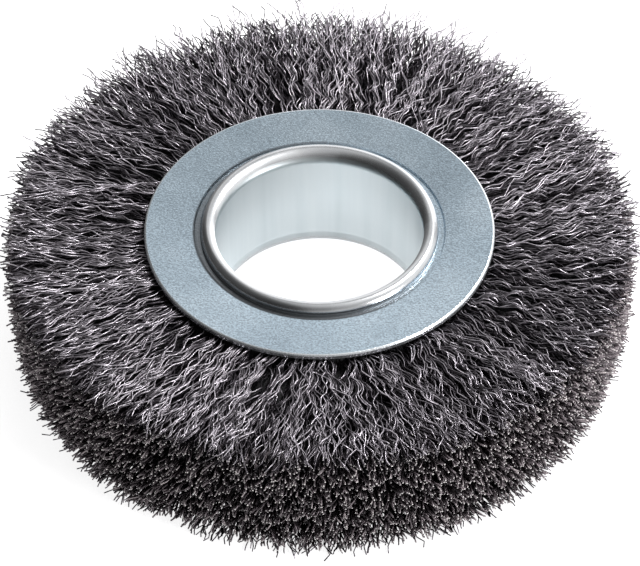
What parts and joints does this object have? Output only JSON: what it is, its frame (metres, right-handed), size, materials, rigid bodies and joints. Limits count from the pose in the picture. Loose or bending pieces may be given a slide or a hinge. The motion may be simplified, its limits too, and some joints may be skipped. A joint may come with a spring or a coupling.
{
  "type": "wire wheel brush",
  "caption": "Wheel brush of crimped steel wire, clamped between two round side plates on a bore tube whose ends are rolled over the plates.",
  "frame": {"origin": "centre of the bore, half way between the two side plates", "axes": "+Z along the bore axis, towards the side that faces up when the wheel lies flat; X and Y are any two radial directions"},
  "size_m": [0.15, 0.1499, 0.0322],
  "materials": {
    "bore_tube": "zinc-plated sheet steel, polished at the rolled ends",
    "side_plate": "zinc-plated stamped steel with a faint blue tint",
    "core_ring": "plain steel",
    "brush_wire": "dark drawn steel wire with bright cut ends"
  },
  "bodies": {
    "root": {"hub_tube": "bore_tube", "front_plate": "side_plate", "rear_plate": "side_plate", "core_ring": "core_ring", "wire_fill": "brush_wire"}
  },
  "joints": []
}
